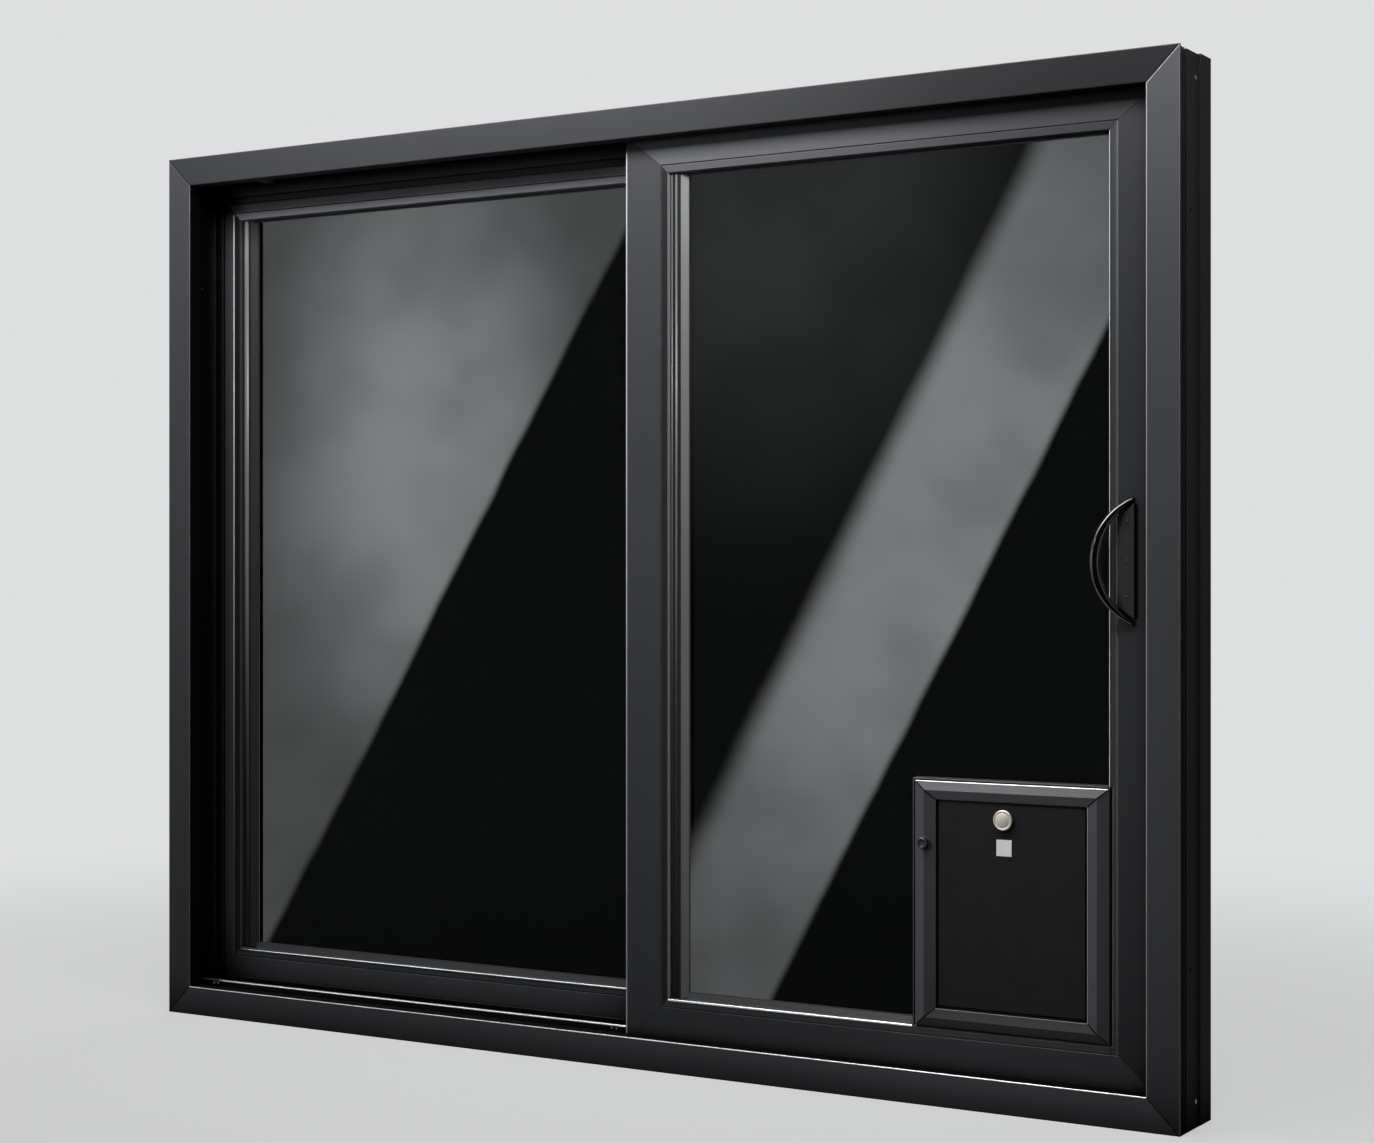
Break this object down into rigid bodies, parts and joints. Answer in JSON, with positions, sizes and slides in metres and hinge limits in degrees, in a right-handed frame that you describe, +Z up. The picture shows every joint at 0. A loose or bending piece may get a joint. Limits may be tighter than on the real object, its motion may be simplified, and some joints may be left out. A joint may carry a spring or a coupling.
{
  "type": "sliding glass patio door with pet door",
  "caption": "Sliding glass patio door in a dark frame, with a fixed panel, a sliding panel, a pull handle and a small pet door set into the glass.",
  "frame": {"origin": "centre of the sill's underside, midway between the room-side and outdoor faces of the frame", "axes": "+X across the door to the right as seen from the room, +Y from the room to outdoors, +Z up"},
  "size_m": [2.505, 0.1755, 2.02],
  "materials": {
    "frame_coating": "satin charcoal powder coat",
    "panel_coating": "satin charcoal powder coat",
    "bead_coating": "satin charcoal, slightly smoother than the members",
    "stop_coating": "matte black",
    "interlock_coating": "matte black",
    "tinted_glass": "clear smoky double glazing",
    "spacer_aluminium": "dull mill finish",
    "track_aluminium": "dark anodised with a worn bright crown",
    "roller_plastic": "moulded nylon",
    "bumper_rubber": "moulded",
    "keeper_steel": "brushed",
    "handle_coating": "satin black",
    "bow_gloss": "gloss black",
    "pet_frame_coating": "satin charcoal with a fine brushed grain",
    "cover_board": "matte black",
    "flap_plastic": "flexible sheet",
    "satin_nickel": "satin nickel",
    "pin_coating": "satin black"
  },
  "bodies": {
    "frame": {"fixed_bottom_bead": "bead_coating", "fixed_bottom_rail": "panel_coating", "fixed_head_stop": "stop_coating", "fixed_inner_pane": "tinted_glass", "fixed_interlock": "interlock_coating", "fixed_left_bead": "bead_coating", "fixed_left_stile": "panel_coating", "fixed_outer_pane": "tinted_glass", "fixed_right_bead": "bead_coating", "fixed_right_stile": "panel_coating", "fixed_side_stop": "stop_coating", "fixed_sill_stop": "stop_coating", "fixed_spacer": "spacer_aluminium", "fixed_top_bead": "bead_coating", "fixed_top_rail": "panel_coating", "frame_head": "frame_coating", "frame_left_jamb": "frame_coating", "frame_right_jamb": "frame_coating", "frame_sill": "frame_coating", "lock_keeper": "keeper_steel", "sill_track": "track_aluminium", "travel_bumper": "bumper_rubber"},
    "sliding_panel": {"handle_bow": "bow_gloss", "handle_plate": "handle_coating", "outside_pull": "handle_coating", "pet_base_frame": "pet_frame_coating", "pet_flap": "flap_plastic", "pet_frame_bottom": "pet_frame_coating", "pet_frame_left": "pet_frame_coating", "pet_frame_right": "pet_frame_coating", "pet_frame_top": "pet_frame_coating", "pet_outside_frame": "pet_frame_coating", "rollers": "roller_plastic", "sliding_bottom_bead": "bead_coating", "sliding_bottom_rail": "panel_coating", "sliding_inner_pane": "tinted_glass", "sliding_interlock": "interlock_coating", "sliding_left_bead": "bead_coating", "sliding_left_stile": "panel_coating", "sliding_outer_pane": "tinted_glass", "sliding_right_bead": "bead_coating", "sliding_right_stile": "panel_coating", "sliding_spacer": "spacer_aluminium", "sliding_top_bead": "bead_coating", "sliding_top_rail": "panel_coating"},
    "pet_cover_panel": {"pet_cover": "cover_board", "cover_knob": "satin_nickel", "cover_blank_plate": "satin_nickel"},
    "lock_pin": {"cover_lock_pin": "pin_coating"}
  },
  "joints": [
    {"name": "panel_slide", "type": "slide", "parent": "frame", "child": "sliding_panel", "axis": [-1, 0, 0], "range_m": [0, 1]},
    {"name": "cover_lift_off", "type": "slide", "parent": "sliding_panel", "child": "pet_cover_panel", "axis": [0, -1, 0], "range_m": [0, 0.07]},
    {"name": "lock_pin_pull", "type": "slide", "parent": "sliding_panel", "child": "lock_pin", "axis": [0, -1, 0], "range_m": [0, 0.006], "stiffness_N_per_m": 300}
  ]
}
